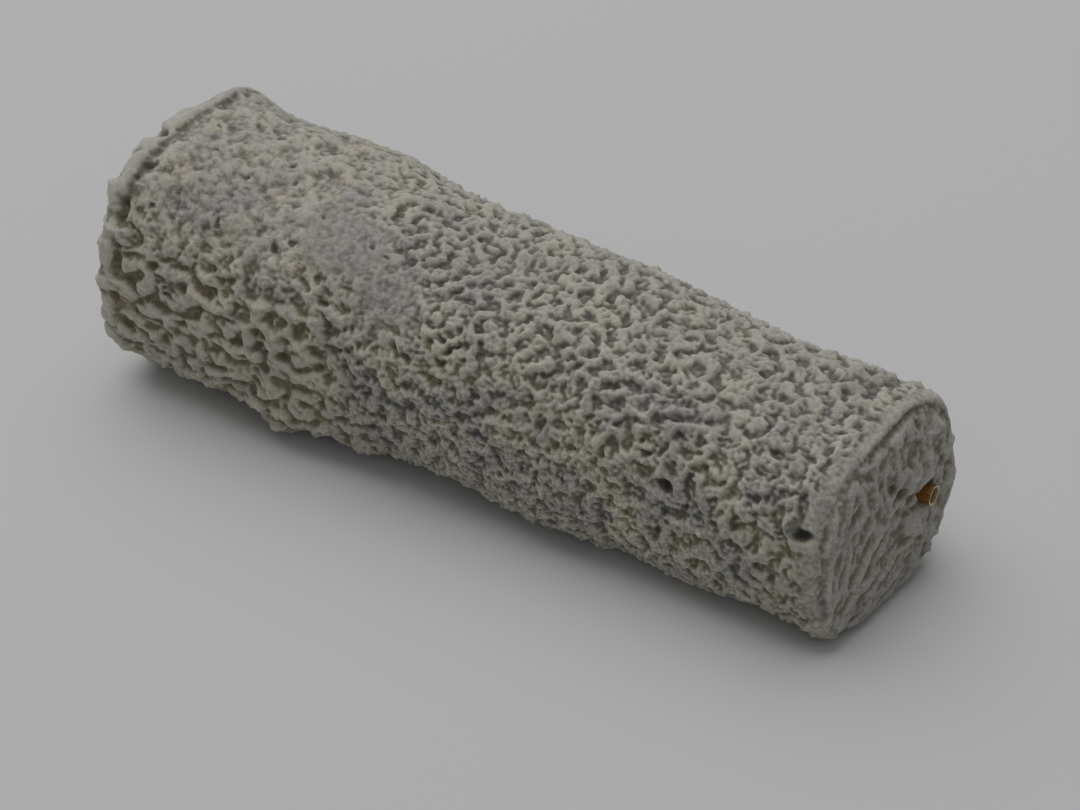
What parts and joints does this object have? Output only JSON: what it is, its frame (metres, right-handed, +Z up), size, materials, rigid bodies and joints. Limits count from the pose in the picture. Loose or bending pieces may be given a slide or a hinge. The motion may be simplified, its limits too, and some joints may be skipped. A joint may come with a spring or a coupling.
{
  "type": "goat cheese log",
  "caption": "Ripened goat cheese log with a wrinkled, ash-dusted rind, tapered and pressed flat underneath, with a hollow straw running through it from end to end.",
  "frame": {"origin": "centre of the bounding box in plan, on the plane the log rests on", "axes": "+X along the log towards its small end, +Y towards the side where the straw comes out, +Z up"},
  "size_m": [0.1636, 0.0524, 0.0491],
  "materials": {
    "rind": "matt wrinkled mould rind, cream ridges over olive-grey hollows",
    "straw": "dry golden-brown straw, slightly shiny along its length"
  },
  "bodies": {
    "root": {"log": "rind", "straw": "straw"}
  },
  "joints": []
}
